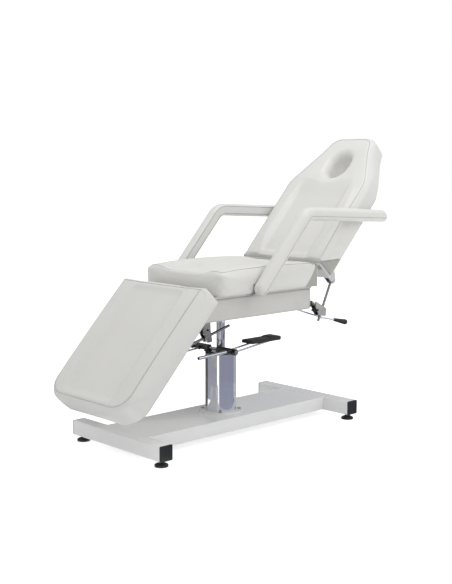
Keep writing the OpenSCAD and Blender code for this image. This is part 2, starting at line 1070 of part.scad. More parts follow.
module lever_knob() {
    reach = norm(lever_tip - lever_stem_end);
    fall = atan2(lever_tip[1] - lever_stem_end[1], lever_tip[0] - lever_stem_end[0]);
    color("black")
    on_column()
        translate(lever_point(lever_stem_end))
            rotate([fall - 90, 0, 0]) {
                cylinder(h = 6, r = 7, $fn = 48);
                cylinder(h = reach - 12, r1 = 7, r2 = 12, $fn = 48);
                translate([0, 0, reach - 12]) sphere(r = 12, $fn = 48);
            }
}

// ---- armrests: one side outline, bent once, makes the steel plate and the padding ----

function arm_outline(inset) =
    let (
        half = arm_thickness / 2 - inset,
        along = heading(arm_slope),
        across = heading(arm_slope + 90),
        bend = [212, arm_top - 28],
        low = crossing(arm_pivot, arm_slope, bend, -arm_fall),
        foot = arm_pivot - (arm_thickness / 2 - inset) * along,
        top_middle = low,
        top_line = top_middle + half * heading(90 - arm_fall),
        under_line = top_middle - half * heading(90 - arm_fall),
        outer = crossing(arm_pivot + half * across, arm_slope, top_line, -arm_fall),
        inner = crossing(arm_pivot - half * across, arm_slope, under_line, -arm_fall),
        tip = arm_end_y - inset,
        tip_top = crossing(top_line, -arm_fall, [tip, 0], 90),
        tip_under = crossing(under_line, -arm_fall, [tip, 0], 90),
        foot_in = foot - half * across,
        foot_out = foot + half * across
    )
    rounded_outline([
        [foot_in[0], foot_in[1], half - 1], [inner[0], inner[1], 40],
        [tip_under[0], tip_under[1], half - 6], [tip_top[0], tip_top[1], half],
        [outer[0], outer[1], 95], [foot_out[0], foot_out[1], half - 1]
    ]);

module armrest_plate() {
    difference() {
        side_plate(arm_inner_x, arm_inner_x + arm_plate_thickness)
            polygon(arm_outline(10));
        cross_bar(arm_inner_x - 1, arm_inner_x + arm_plate_thickness + 1, arm_pivot,
            arm_bolt_radius + fit);
    }
}

module armrest_pad() {
    start = arm_inner_x + arm_plate_thickness;
    difference() {
        side_plate(start, start + arm_pad_width) polygon(arm_outline(0));
        cross_bar(start - 1, start + 12, arm_pivot, 10);
    }
}

module right_armrest_plate() {
    color("gray") on_column() armrest_plate();
}

module right_armrest_pad() {
    color(vinyl) on_column() armrest_pad();
}

module left_armrest_plate() {
    color("gray") on_column() mirror([1, 0, 0]) armrest_plate();
}

module left_armrest_pad() {
    color(vinyl) on_column() mirror([1, 0, 0]) armrest_pad();
}

base_plate();
foot_crossbar();
head_crossbar();
crossbar_end_caps();
levelling_nuts();
base_bolts();
pump_flange();
pump_cylinder();
pump_shroud();
shroud_cap();
pump_head();
pedal_shaft();
foot_front_left();
foot_front_right();
foot_rear_left();
foot_rear_right();
rear_pedal_hub();
rear_pedal_loop();
rear_pedal_pad();
rear_pedal_tube();
front_pedal_hub();
front_pedal_loop();
front_pedal_pad();
pump_plunger();
piston_rod();
piston_head();
mounting_plate();
cross_members();
seat_rails();
seat_board();
seat_rear_board();
seat_cushion();
apron_side_panels();
apron_front_panel();
apron_rear_panel();
hinge_pins();
back_hinge_seat_leaf();
leg_hinge_seat_leaf();
leg_clamp_bracket();
back_clamp_bracket();
clamp_jaws();
armrest_brackets();
armrest_bolts();
back_board();
back_end_board();
back_cushion();
back_hinge_leaf();
back_strut_bracket();
leg_board();
leg_cushion();
leg_hinge_leaf();
leg_strut_bracket();
back_strut();
leg_strut();
release_lever();
lever_knob();
left_armrest_plate();
left_armrest_pad();
right_armrest_plate();
right_armrest_pad();
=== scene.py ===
import json
import math

import bpy
import numpy as np
from mathutils import Matrix, Vector
from mathutils.bvhtree import BVHTree
from mathutils.geometry import tessellate_polygon
from mathutils.kdtree import KDTree


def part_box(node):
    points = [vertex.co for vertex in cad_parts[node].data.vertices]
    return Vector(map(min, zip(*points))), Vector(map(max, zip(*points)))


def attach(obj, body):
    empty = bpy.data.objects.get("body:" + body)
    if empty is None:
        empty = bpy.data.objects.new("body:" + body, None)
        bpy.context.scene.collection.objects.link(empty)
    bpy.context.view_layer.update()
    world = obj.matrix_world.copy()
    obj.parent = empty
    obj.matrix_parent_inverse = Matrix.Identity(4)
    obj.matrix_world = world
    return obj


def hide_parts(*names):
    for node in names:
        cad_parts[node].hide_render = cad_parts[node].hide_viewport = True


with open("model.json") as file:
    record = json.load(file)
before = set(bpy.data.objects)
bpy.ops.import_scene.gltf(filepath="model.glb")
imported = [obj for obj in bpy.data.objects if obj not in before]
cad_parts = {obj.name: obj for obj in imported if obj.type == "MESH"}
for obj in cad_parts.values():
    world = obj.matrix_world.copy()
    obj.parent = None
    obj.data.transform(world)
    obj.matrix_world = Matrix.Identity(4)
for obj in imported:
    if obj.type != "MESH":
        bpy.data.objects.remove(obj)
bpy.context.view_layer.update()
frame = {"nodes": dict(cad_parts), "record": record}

# ---------------------------------------------------------------- places, from the CAD
joints = {j["name"]: j for j in frame["record"]["behaviour"]["joints"]}
back_hinge = Vector(joints["backrest_hinge"]["pos_m"])
leg_hinge = Vector(joints["leg_rest_hinge"]["pos_m"])
rod_low, rod_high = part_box("piston_rod")
column_y = (rod_low.y + rod_high.y) / 2
REST_ANGLE = math.radians(47)
SEAT = Matrix.Translation((0, column_y, 0))
BACK = Matrix.Translation(back_hinge) @ Matrix.Rotation(REST_ANGLE, 4, "X")
LEG = Matrix.Translation(leg_hinge) @ Matrix.Rotation(REST_ANGLE, 4, "X")


# ---------------------------------------------------------------- small helpers
def rounded(corners, steps=12):
    """Outline through corners given as (x, y, radius), each corner replaced by an arc."""
    out = []
    n = len(corners)
    for i in range(n):
        before, here, after = (Vector(corners[(i + k) % n][:2]) for k in (-1, 0, 1))
        radius = corners[i][2]
        u, v = (before - here).normalized(), (after - here).normalized()
        half = u.angle(v) / 2
        middle = here + (u + v).normalized() * radius / math.sin(half)
        start = here + u * radius / math.tan(half) - middle
        end = here + v * radius / math.tan(half) - middle
        first = math.atan2(start.y, start.x)
        turn = math.atan2(end.y, end.x) - first
        turn = (turn + math.pi) % (2 * math.pi) - math.pi
        for k in range(steps + 1):
            a = first + turn * k / steps
            out.append(middle + radius * Vector((math.cos(a), math.sin(a))))
    return np.array([(p.x, p.y) for p in out])


def resample(loop, spacing):
    """The closed loop as evenly spaced points."""
    ring = np.vstack([loop, loop[:1]])
    step = np.linalg.norm(np.diff(ring, axis=0), axis=1)
    keep = np.concatenate([[True], step > 1e-9])
    ring, step = ring[keep], step[step > 1e-9]
    along = np.concatenate([[0], np.cumsum(step)])
    count = max(12, int(round(along[-1] / spacing)))
    at = np.linspace(0, along[-1], count, endpoint=False)
    return np.stack([np.interp(at, along, ring[:, k]) for k in range(ring.shape[1])], axis=1)


def resample_open(line, spacing):
    """The open line as evenly spaced points."""
    line = np.asarray(line, float)
    along = np.concatenate([[0], np.cumsum(np.linalg.norm(np.diff(line, axis=0), axis=1))])
    at = np.linspace(0, along[-1], max(2, int(round(along[-1] / spacing)) + 1))
    return np.stack([np.interp(at, along, line[:, k]) for k in range(line.shape[1])], axis=1)


def smoothstep(x, low, high):
    t = np.clip((x - low) / (high - low), 0, 1)
    return t * t * (3 - 2 * t)


def link(name, verts, faces, matrix=None):
    """A smooth-shaded mesh object in the scene, moved by the matrix if there is one."""
    mesh = bpy.data.meshes.new(name)
    mesh.from_pydata([tuple(map(float, v)) for v in verts], [], faces)
    mesh.validate()
    if matrix is not None:
        mesh.transform(matrix)
    for p in mesh.polygons:
        p.use_smooth = True
    obj = bpy.data.objects.new(name, mesh)
    bpy.context.scene.collection.objects.link(obj)
    return obj


def points_of(obj):
    co = np.zeros(len(obj.data.vertices) * 3)
    obj.data.vertices.foreach_get("co", co)
    return co.reshape(-1, 3)


def set_points(obj, co):
    obj.data.vertices.foreach_set("co", np.ascontiguousarray(co, dtype=np.float64).ravel())
    obj.data.update()


def bake_modifiers(obj):
    """Gives the object its mesh as the modifiers leave it."""
    depsgraph = bpy.context.evaluated_depsgraph_get()
    mesh = bpy.data.meshes.new_from_object(obj.evaluated_get(depsgraph))
    obj.modifiers.clear()
    old = obj.data
    obj.data = mesh
    bpy.data.meshes.remove(old)


def tube(name, path, radius, closed=False, sides=8):
    """A thin tube along a list of points, such as a seam's welt."""
    path = np.asarray(path, float)
    count = len(path)
    ahead = np.roll(path, -1, 0) - np.roll(path, 1, 0)
    if not closed:
        ahead[0], ahead[-1] = path[1] - path[0], path[-1] - path[-2]
    ahead /= np.linalg.norm(ahead, axis=1)[:, None]
    up = np.array([0.31, 0.17, 0.93])
    side = np.cross(ahead, up)
    side /= np.linalg.norm(side, axis=1)[:, None]
    other = np.cross(side, ahead)
    verts = []
    for k in range(count):
        for s in range(sides):
            a = 2 * math.pi * s / sides
            verts.append(path[k] + radius * (math.cos(a) * side[k] + math.sin(a) * other[k]))
    faces = []
    for k in range(count if closed else count - 1):
        a, b = k * sides, ((k + 1) % count) * sides
        for s in range(sides):
            t = (s + 1) % sides
            faces.append((a + s, a + t, b + t, b + s))
    if not closed:
        faces.append(tuple(range(sides - 1, -1, -1)))
        faces.append(tuple((count - 1) * sides + s for s in range(sides)))
    return link(name, verts, faces)


# ---------------------------------------------------------------- cushions
VOXEL = 0.006
OUTLINE_STEP = 0.005  # spacing of the outline points that a cushion's border is measured from
CHUNK = 4000  # points handled at a time when measuring, to keep memory low
TOP_EDGE = 0.024  # radius of the three cushions' top edge
BORDER_BULGE = 0.002
PRESSURE = 5.0
MOVE_LIMIT = 0.006  # how far the cloth simulation may move a point
WIDE_GIVE = 0.004  # how far a border may pass its widest plane


def slab(name, loops, low, high):
    """A straight-sided block over an outline, with holes, as a fine even mesh."""
    rings = [resample(loop, 0.01) for loop in loops]
    flat = [[Vector((x, y, 0)) for x, y in ring] for ring in rings]
    count = sum(len(r) for r in rings)
    verts = [(x, y, z) for z in (low, high) for ring in rings for x, y in ring]
    faces = []
    for a, b, c in tessellate_polygon(flat):
        faces += [(a, c, b), (a + count, b + count, c + count)]
    first = 0
    for ring in rings:
        n = len(ring)
        for i in range(n):
            a, b = first + i, first + (i + 1) % n
            faces.append((a, b, b + count, a + count))
        first += n
    obj = link(name, verts, faces)
    obj.data.validate()
    remesh = obj.modifiers.new("remesh", "REMESH")
    remesh.mode = "VOXEL"
    remesh.voxel_size = VOXEL
    bake_modifiers(obj)
    return obj


def nearest_on(loops, xy):
    """For each point: the nearest outline point, the distance and the loop."""
    best = np.full(len(xy), 1e9)
    spot = np.zeros((len(xy), 2))
    which = np.zeros(len(xy), int)
    for k, loop in enumerate(loops):
        ring = resample(loop, OUTLINE_STEP)
        a, b = ring, np.roll(ring, -1, 0)
        edge = b - a
        size = (edge**2).sum(1)
        for first in range(0, len(xy), CHUNK):
            part = xy[first : first + CHUNK]
            t = ((part[:, None] - a[None]) * edge[None]).sum(2) / size[None]
            near = a[None] + np.clip(t, 0, 1)[:, :, None] * edge[None]
            gap = np.linalg.norm(part[:, None] - near, axis=2)
            pick = gap.argmin(1)
            rows = np.arange(len(part))
            closer = gap[rows, pick] < best[first : first + CHUNK]
            where = first + rows[closer]
            best[where] = gap[rows, pick][closer]
            spot[where] = near[rows, pick][closer]
            which[where] = k
    return spot, best, which


def normal_at(loops, spot, which):
    """Inward direction of the outline at each nearest point, from the smoothed loop."""
    out = np.zeros_like(spot)
    for k, loop in enumerate(loops):
        ring = resample(loop, OUTLINE_STEP)
        ahead = np.roll(ring, -1, 0) - np.roll(ring, 1, 0)
        area = 0.5 * np.sum(ring[:, 0] * np.roll(ring[:, 1], -1) - np.roll(ring[:, 0], -1) * ring[:, 1])
        turn = 1 if area > 0 else -1
        inward = np.stack([-ahead[:, 1], ahead[:, 0]], 1) * turn * (1 if k == 0 else -1)
        inward /= np.linalg.norm(inward, axis=1)[:, None]
        rows = np.where(which == k)[0]
        for first in range(0, len(rows), CHUNK):
            part = rows[first : first + CHUNK]
            gap = np.linalg.norm(spot[part][:, None] - ring[None], axis=2)
            out[part] = inward[gap.argmin(1)]
    return out


def simulate(obj, pinned, pressure, cap, frames=20):
    """Blows the cover up a little with Cloth, then keeps each point within cap of where it was."""
    start = points_of(obj)
    group = obj.vertex_groups.new(name="held")
    for weight in sorted(set(np.round(pinned, 2))):
        if weight > 0:
            rows = np.where(np.round(pinned, 2) == weight)[0]
            group.add([int(r) for r in rows], float(weight), "REPLACE")
    cloth = obj.modifiers.new("cloth", "CLOTH")
    s = cloth.settings
    s.quality = 4
    s.mass = 0.25
    s.tension_stiffness = s.compression_stiffness = 25
    s.shear_stiffness = 10
    s.bending_stiffness = 1.5
    s.air_damping = 3
    s.use_pressure = True
    s.uniform_pressure_force = pressure
    s.vertex_group_mass = "held"
    s.pin_stiffness = 1.0
    s.effector_weights.gravity = 0
    cloth.point_cache.frame_start = 1
    cloth.point_cache.frame_end = frames
    scene = bpy.context.scene
    for f in range(1, frames + 1):
        scene.frame_set(f)
    bake_modifiers(obj)
    scene.frame_set(1)
    obj.vertex_groups.clear()
    moved = points_of(obj) - start
    size = np.linalg.norm(moved, axis=1)
    moved *= (np.minimum(size, cap) / np.maximum(size, 1e-9))[:, None]
    set_points(obj, start + moved)


def cushion(
    name, loops, low, high, sculpt, edge=TOP_EDGE, bulge=BORDER_BULGE, pressure=PRESSURE, cap=MOVE_LIMIT,
    hole_edge=0.036, foot_edge=0.006, widest=None,
):
    """A foam cushion in its own flat frame: rounded top edge, bulging border, sculpted face."""
    obj = slab(name, loops, low, high)
    p = points_of(obj)
    spot, gap, which = nearest_on(loops, p[:, :2])
    inward = normal_at(loops, spot, which)
    radius = np.where(which == 0, edge, hole_edge)
    height = np.clip(p[:, 2], low, high)
    run = gap - (high - height)
    fall = gap - (height - low)
    upper = height > (low + high) / 2
    inset, z = gap.copy(), height.copy()
    top = upper & (run > -radius) & (run < radius)
    angle = (run[top] + radius[top]) / (2 * radius[top]) * math.pi / 2
    inset[top] = radius[top] * (1 - np.cos(angle))
    z[top] = high - radius[top] + radius[top] * np.sin(angle)
    foot = ~upper & (np.abs(fall) < foot_edge)
    angle = (fall[foot] + foot_edge) / (2 * foot_edge) * math.pi / 2
    inset[foot] = foot_edge * (1 - np.cos(angle))
    z[foot] = low + foot_edge - foot_edge * np.sin(angle)
    on_top = np.clip((z - (high - radius)) / radius, 0, 1) ** 2
    share = np.clip((z - low) / (high - low), 0, 1)
    swell = bulge * np.sin(np.pi * share) ** 0.7 * (1 - on_top) * (which == 0)
    xy = spot + inward * (inset - swell)[:, None]
    z = z + on_top * sculpt(xy[:, 0], xy[:, 1], gap)
    set_points(obj, np.column_stack([xy, z]))
    held = np.zeros(len(z))
    held[z < low + 0.004] = 1.0
    seam = upper & (np.abs(inset - 0.75 * radius) < VOXEL * 0.6) & (run < radius)
    held[seam] = 0.9
    simulate(obj, held, pressure, cap)
    if widest:
        p = points_of(obj)
        over = np.abs(p[:, 0]) - widest
        wide = over > 0
        p[wide, 0] = np.sign(p[wide, 0]) * (widest + WIDE_GIVE * np.tanh(over[wide] / WIDE_GIVE))
        set_points(obj, p)
    sub = obj.modifiers.new("smooth", "SUBSURF")
    sub.levels = sub.render_levels = 1
    bake_modifiers(obj)
    for poly in obj.data.polygons:
        poly.use_smooth = True
    return obj


def surface_tree(obj):
    points = [v.co.copy() for v in obj.data.vertices]
    return BVHTree.FromPolygons(points, [tuple(f.vertices) for f in obj.data.polygons])


def seam_path(obj, loop, inset, top, spacing=0.004):
    """The line a set distance inside the outline, laid on the cushion's face."""
    ring = resample(loop, spacing)
    ahead = np.roll(ring, -1, 0) - np.roll(ring, 1, 0)
    area = 0.5 * np.sum(ring[:, 0] * np.roll(ring[:, 1], -1) - np.roll(ring[:, 0], -1) * ring[:, 1])
    inward = np.stack([-ahead[:, 1], ahead[:, 0]], 1) * (1 if area > 0 else -1)
    inward /= np.linalg.norm(inward, axis=1)[:, None]
    line = ring + inward * inset
    tree = surface_tree(obj)
    out = []
    for x, y in line:
        hit = tree.ray_cast(Vector((x, y, top + 0.1)), Vector((0, 0, -1)))
        if hit[0] is not None:
            out.append(hit[0])
    return np.array([tuple(v) for v in out])


def groove(obj, path, depth, width):
    """Presses a sewn line into the cover along the path."""
    tree = KDTree(len(path))
    for i, q in enumerate(path):
        tree.insert(Vector(q), i)
    tree.balance()
    normals = np.zeros(len(obj.data.vertices) * 3)
    obj.data.vertices.foreach_get("normal", normals)
    normals = normals.reshape(-1, 3)
    p = points_of(obj)
    gap = np.array([tree.find(Vector(q))[2] for q in p])
    push = depth * np.exp(-((gap / width) ** 2))
    set_points(obj, p - normals * push[:, None])


# ---------------------------------------------------------------- the three cushions
def dish(x, inner, outer, depth):
    """The middle panel lies lower than the raised bolsters along both sides."""
    a = np.abs(x)
    crest = np.exp(-(((a - (outer + 0.018)) / 0.026) ** 2))
    return -depth * (1 - smoothstep(a, inner, outer)) + 0.25 * depth * crest


SEAT_LOW, SEAT_HIGH = 0.600, 0.697
SEAT_HALF, SEAT_FRONT, SEAT_REAR = 0.236, -0.212, 0.333
seat_loop = rounded([
    (-SEAT_HALF, SEAT_FRONT, 0.030), (SEAT_HALF, SEAT_FRONT, 0.030),
    (SEAT_HALF, SEAT_REAR, 0.006), (-SEAT_HALF, SEAT_REAR, 0.006),
])


def seat_face(x, y, gap):
    """Dished along the middle right over the front edge, crowned from front to rear."""
    front = 1 - smoothstep(y, SEAT_FRONT, -0.10)
    crown = 0.006 * np.sin(np.clip((y - SEAT_FRONT) / (SEAT_REAR - SEAT_FRONT), 0, 1) * np.pi)
    inside = smoothstep(SEAT_HALF - np.abs(x), 0.0, 0.05) * smoothstep(SEAT_REAR - y, 0.0, 0.05)
    return dish(x, 0.09, 0.165, 0.013) * inside + crown - 0.004 * front


seat = cushion("seat_upholstery", [seat_loop], SEAT_LOW, SEAT_HIGH, seat_face, widest=0.2385)

BACK_LOW, BACK_HIGH = -0.086, 0.007
BACK_CORNERS = [
    (-0.240, 0.015, 0.008), (0.240, 0.015, 0.008), (0.240, 0.455, 0.180), (0.150, 0.640, 0.150),
    (0.116, 0.737, 0.070), (-0.116, 0.737, 0.070), (-0.150, 0.640, 0.150), (-0.240, 0.455, 0.180),
]
back_loop = rounded(BACK_CORNERS)
HOLE_AT, HOLE_HALF, HOLE_RADIUS = 0.564, 0.015, 0.052
hole_angles = np.linspace(0, 2 * math.pi, 72, endpoint=False)
hole_loop = np.array([
    (HOLE_RADIUS * math.cos(a), HOLE_AT + math.copysign(HOLE_HALF, math.sin(a)) + HOLE_RADIUS * math.sin(a))
    for a in hole_angles
])


def back_face(x, y, gap):
    """Dished between the bolsters, which fade out below the face hole."""
    fade = 1 - smoothstep(y, 0.36, 0.50)
    crown = 0.005 * np.sin(np.clip(y / 0.74, 0, 1) * np.pi)
    return dish(x, 0.130, 0.162, 0.016) * fade * smoothstep(gap, 0.0, 0.05) + crown


back = cushion(
    "backrest_upholstery", [back_loop, hole_loop], BACK_LOW, BACK_HIGH, back_face, widest=0.2395,
)

LEG_LOW, LEG_HIGH = 0.016, 0.113
LEG_HALF, LEG_TOP, LEG_FOOT = 0.252, -0.010, -0.597
leg_loop = rounded([
    (-LEG_HALF, LEG_TOP, 0.014), (-LEG_HALF, LEG_FOOT, 0.092),
    (LEG_HALF, LEG_FOOT, 0.092), (LEG_HALF, LEG_TOP, 0.014),
])


def leg_face(x, y, gap):
    """Dished between two bolsters that run its whole length."""
    crown = 0.004 * np.sin(np.clip(-y / 0.6, 0, 1) * np.pi)
    return dish(x, 0.142, 0.168, 0.014) * smoothstep(gap, 0.0, 0.06) + crown


leg = cushion("leg_rest_upholstery", [leg_loop], LEG_LOW, LEG_HIGH, leg_face)

# ---------------------------------------------------------------- armrest pads
ARM_PIVOT = Vector((-0.028, 0.621))
ARM_TOP_MIDDLE = Vector((0.212, 0.908))
ARM_SLOPE, ARM_FALL = math.radians(48), math.radians(3)
ARM_HALF = 0.0255
ARM_TIP = 0.734


def direction(angle):
    return Vector((math.cos(angle), math.sin(angle)))


def crossing(p, p_angle, q, q_angle):
    a, b, gap = direction(p_angle), direction(q_angle), q - p
    return p + a * ((gap.x * b.y - gap.y * b.x) / (a.x * b.y - a.y * b.x))


def arm_outline(half):
    """The side view of an armrest whose two edges lie half from its middle line, its tip drawn to a nose."""
    along, across = direction(ARM_SLOPE), direction(ARM_SLOPE + math.pi / 2)
    middle = crossing(ARM_PIVOT, ARM_SLOPE, ARM_TOP_MIDDLE, -ARM_FALL)
    rise = direction(math.pi / 2 - ARM_FALL)
    top, under = middle + rise * half, middle - rise * half
    outer = crossing(ARM_PIVOT + across * half, ARM_SLOPE, top, -ARM_FALL)
    inner = crossing(ARM_PIVOT - across * half, ARM_SLOPE, under, -ARM_FALL)
    tip_top = crossing(top, -ARM_FALL, Vector((ARM_TIP - 0.014, 0)), math.pi / 2)
    tip_under = crossing(under, -ARM_FALL, Vector((ARM_TIP - 0.010, 0)), math.pi / 2)
    nose = tip_under + Vector((0.014, 0.8 * half))
    foot = ARM_PIVOT - along * half
    a, b = foot - across * half, foot + across * half
    return rounded([
        (a.x, a.y, half - 0.001), (inner.x, inner.y, 0.040),
        (tip_under.x, tip_under.y, 0.45 * half), (nose.x, nose.y, 0.004), (tip_top.x, tip_top.y, half),
        (outer.x, outer.y, 0.095), (b.x, b.y, half - 0.001),
    ])


ARM_INNER, ARM_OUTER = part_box("right_armrest_plate")[0].x - 0.0003, 0.2935
arm_loop = arm_outline(ARM_HALF)


def flat_face(x, y, gap):
    return np.zeros_like(x)


def armrest(side):
    return cushion(
        side + "_armrest_upholstery", [arm_loop], ARM_INNER, ARM_OUTER, flat_face,
        edge=0.020, bulge=0.001, pressure=6.0, cap=0.003, foot_edge=0.012,
    )


# In the armrest's flat frame the outline lies in (y, z) and the height is x.
ARM_RIGHT = SEAT @ Matrix(((0, 0, 1, 0), (1, 0, 0, 0), (0, 1, 0, 0), (0, 0, 0, 1)))
ARM_LEFT = Matrix.Scale(-1, 4, (1, 0, 0)) @ ARM_RIGHT
pads = {}
for side, place in (("right", ARM_RIGHT), ("left", ARM_LEFT)):
    pads[side] = (armrest(side), place)


def arm_seam(pad, offset, from_x, toward):
    """The sewn line along one face, on the concave side, from the lower end to the tip."""
    ring = arm_outline(offset)[12:27]  # the last point of the first corner's arc to the first of the third's
    first, last = ring[0] - ring[1], ring[-1] - ring[-2]
    ends = [ring[0] + first / np.linalg.norm(first) * 0.016, ring[-1] + last / np.linalg.norm(last) * 0.013]
    tree = surface_tree(pad)
    out = []
    for y, z in resample_open(np.vstack([ends[:1], ring, ends[1:]]), 0.004):
        hit = tree.ray_cast(Vector((y, z, from_x)), Vector((0, 0, toward)))
        if hit[0] is not None:
            out.append(tuple(hit[0]))
    return np.array(out)


# ---------------------------------------------------------------- recessed corners beside the backrest hinge, with painted shade in them
def edge_depth(corners, y, z):
    """How far inside a convex outline each point lies."""
    depth = np.full(len(y), 1e9)
    for k, (ay, az) in enumerate(corners):
        by, bz = corners[(k + 1) % len(corners)]
        size = math.hypot(by - ay, bz - az)
        depth = np.minimum(depth, ((by - ay) * (z - az) - (bz - az) * (y - ay)) / size)
    return depth


def recess(obj, corners, level):
    """Tucks both side borders in over the outline."""
    p = points_of(obj)
    share = smoothstep(edge_depth(corners, p[:, 1], p[:, 2]), -0.003, 0.003) * (np.abs(p[:, 0]) > level)
    p[:, 0] -= np.sign(p[:, 0]) * (np.abs(p[:, 0]) - level) * share
    set_points(obj, p)


def shade_panel(name, corners, level, place, body):
    """Dark grey panels laid in the tucked corners, one on each side, as painted shade of the recesses."""
    outline = rounded([(y, z, 0.004) for y, z in corners], 5)
    verts, faces = [], []
    for sign in (1, -1):
        first = len(verts)
        count = len(outline)
        middle = outline.mean(0)
        for shrink, rise in ((0.99, -0.004), (0.985, -0.0012), (0.95, 0.0), (0.6, 0.0006)):
            x = level + rise
            verts += [(sign * x, *(middle + (q - middle) * shrink)) for q in outline]
        for r in range(3):
            for i in range(count):
                j = (i + 1) % count
                here, above = first + r * count, first + (r + 1) * count
                quad = [here + i, here + j, above + j, above + i]
                faces.append(tuple(quad if sign > 0 else reversed(quad)))
        cap = [first + 3 * count + i for i in range(count)]
        back_cap = [first + i for i in range(count)]
        faces.append(tuple(cap if sign > 0 else reversed(cap)))
        faces.append(tuple(reversed(back_cap) if sign > 0 else back_cap))
    obj = link(name, verts, faces, place)
    obj.data.materials.append(painted_shade_vinyl)
    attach(obj, body)
    return obj


SEAT_CORNER = [(0.262, 0.599), (0.336, 0.599), (0.336, 0.692), (0.330, 0.692)]
BACK_CORNER = [(0.013, -0.087), (0.106, -0.087), (0.019, 0.002), (0.013, 0.002)]
recess(seat, SEAT_CORNER, 0.2290)
recess(back, BACK_CORNER, 0.2310)


# ---------------------------------------------------------------- the apron under the seat
ARC_STEPS = 8


def apron_cover():
    """One padded box wall round the lift, open above and below, leaning forward at the front."""
    side_low, side_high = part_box("apron_side_panels")
    rear_low, rear_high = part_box("apron_rear_panel")
    front_low, front_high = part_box("apron_front_panel")
    bottom, top = side_low.z, side_high.z
    half, rear = side_high.x, rear_high.y - column_y
    lean_low, lean_high = side_low.y - column_y, front_high.y - column_y - 0.014
    slope = (lean_high - lean_low) / (front_high.z - bottom)
    wall = 0.012
    profile = []
    rows = 22
    for k in range(rows + 1):
        t = k / rows
        pull = 0.005 * (1 - math.sqrt(max(0.0, 1 - max(0.0, 1 - t / 0.07) ** 2)))
        pull += 0.004 * (1 - math.sqrt(max(0.0, 1 - max(0.0, (t - 0.95) / 0.05) ** 2)))
        profile.append((pull - 0.0012 * math.sin(math.pi * t), t))
    for k in range(rows + 1):
        t = 1 - k / rows
        profile.append((wall, t))
    verts = []
    for inset, t in profile:
        z = bottom + t * (top - bottom)
        front = lean_low + slope * (z - bottom)
        # every ring is walked in the same steps, so that the rings line up
        side = half - inset
        front_radius, rear_radius = max(0.002, 0.008 - inset), 0.030 - inset
        arc = rounded([
            (-side, front + inset, front_radius), (side, front + inset, front_radius),
            (side, rear - inset, rear_radius), (-side, rear - inset, rear_radius),
        ], ARC_STEPS)
        pieces = []
        for c in range(4):
            here = arc[(ARC_STEPS + 1) * c : (ARC_STEPS + 1) * (c + 1)]
            after = arc[(ARC_STEPS + 1) * (c + 1) % len(arc)]
            pieces.append(here)
            steps = 56 if c % 2 == 0 else 80
            run = after - here[-1]
            pieces.append(np.array([here[-1] + run * (i / steps) for i in range(1, steps)]))
        ring = np.vstack(pieces)
        count = len(ring)
        at_front = smoothstep(-ring[:, 1], -(front + 0.030), -(front + 0.012))
        within = smoothstep(half - np.abs(ring[:, 0]), 0.004, 0.014)
        drop = at_front * within * max(0.0, z - front_high.z)
        for (x, y), lower in zip(ring, drop):
            soft = 0.0009 * math.sin(19 * x + 5 * z + 1.3) * math.sin(23 * y + 11 * z)
            grow = 1 + (soft / half if inset < wall else 0.0)
            verts.append([x * grow, y, z - lower])
    faces = []
    total = len(profile)
    for r in range(total):
        a, b = r * count, ((r + 1) % total) * count
        for i in range(count):
            j = (i + 1) % count
            faces.append((a + i, a + j, b + j, b + i))
    p = np.array(verts)
    # the wall is hollowed from the inside round the release lever's pivot
    near = np.hypot(p[:, 1] - (lever_pivot.y - column_y), p[:, 2] - lever_pivot.z)
    inner = (np.abs(p[:, 0]) < half - 0.008) & (np.abs(p[:, 0]) > half - 0.016)
    share = (1 - smoothstep(near, 0.008, 0.013)) * inner
    p[:, 0] += np.sign(p[:, 0]) * (half - 0.0038 - np.abs(p[:, 0])) * share
    return link("apron_upholstery", p, faces)


lever_pivot = Vector(joints["release_lever_hinge"]["pos_m"])
apron = apron_cover()


# ---------------------------------------------------------------- materials
def material(name, build):
    """A node material whose build function is given the tree and the Principled shader."""
    mat = bpy.data.materials.new(name)
    mat.use_nodes = True
    tree = mat.node_tree
    shader = tree.nodes["Principled BSDF"]
    build(tree, shader)
    return mat


def node(tree, kind, **values):
    n = tree.nodes.new(kind)
    for key, value in values.items():
        if key in n.inputs:
            n.inputs[key].default_value = value
        else:
            setattr(n, key, value)
    return n


def coordinates(tree):
    return node(tree, "ShaderNodeTexCoord").outputs["Object"]


def noise(tree, scale, detail=4.0, rough=0.55, coords=None):
    n = node(tree, "ShaderNodeTexNoise")
    n.inputs["Scale"].default_value = scale
    n.inputs["Detail"].default_value = detail
    n.inputs["Roughness"].default_value = rough
    tree.links.new(coords or coordinates(tree), n.inputs["Vector"])
    return n.outputs["Fac"]


def ramp(tree, fac, stops):
    n = node(tree, "ShaderNodeValToRGB")
    while len(n.color_ramp.elements) < len(stops):
        n.color_ramp.elements.new(0.5)
    for element, (at, colour) in zip(n.color_ramp.elements, stops):
        element.position = at
        element.color = (*colour, 1)
    tree.links.new(fac, n.inputs["Fac"])
    return n.outputs["Color"]


def spread(tree, fac, low, high, from_low=0.3, from_high=0.7):
    n = node(tree, "ShaderNodeMapRange")
    n.inputs["From Min"].default_value = from_low
    n.inputs["From Max"].default_value = from_high
    n.inputs["To Min"].default_value = low
    n.inputs["To Max"].default_value = high
    tree.links.new(fac, n.inputs["Value"])
    return n.outputs["Result"]


def bump(tree, shader, height, strength, distance, under=None):
    n = node(tree, "ShaderNodeBump")
    n.inputs["Strength"].default_value = strength
    n.inputs["Distance"].default_value = distance
    tree.links.new(height, n.inputs["Height"])
    if under is not None:
        tree.links.new(under, n.inputs["Normal"])
    tree.links.new(n.outputs["Normal"], shader.inputs["Normal"])
    return n.outputs["Normal"]


def tint(tree, shader, fac, dark, light, low=0.3, high=0.7):
    """Base colour between two tones."""
    tree.links.new(ramp(tree, fac, [(low, dark), (high, light)]), shader.inputs["Base Color"])


def wear(tree, shader, fac, low, high):
    """Roughness between two values."""
    tree.links.new(spread(tree, fac, low, high), shader.inputs["Roughness"])


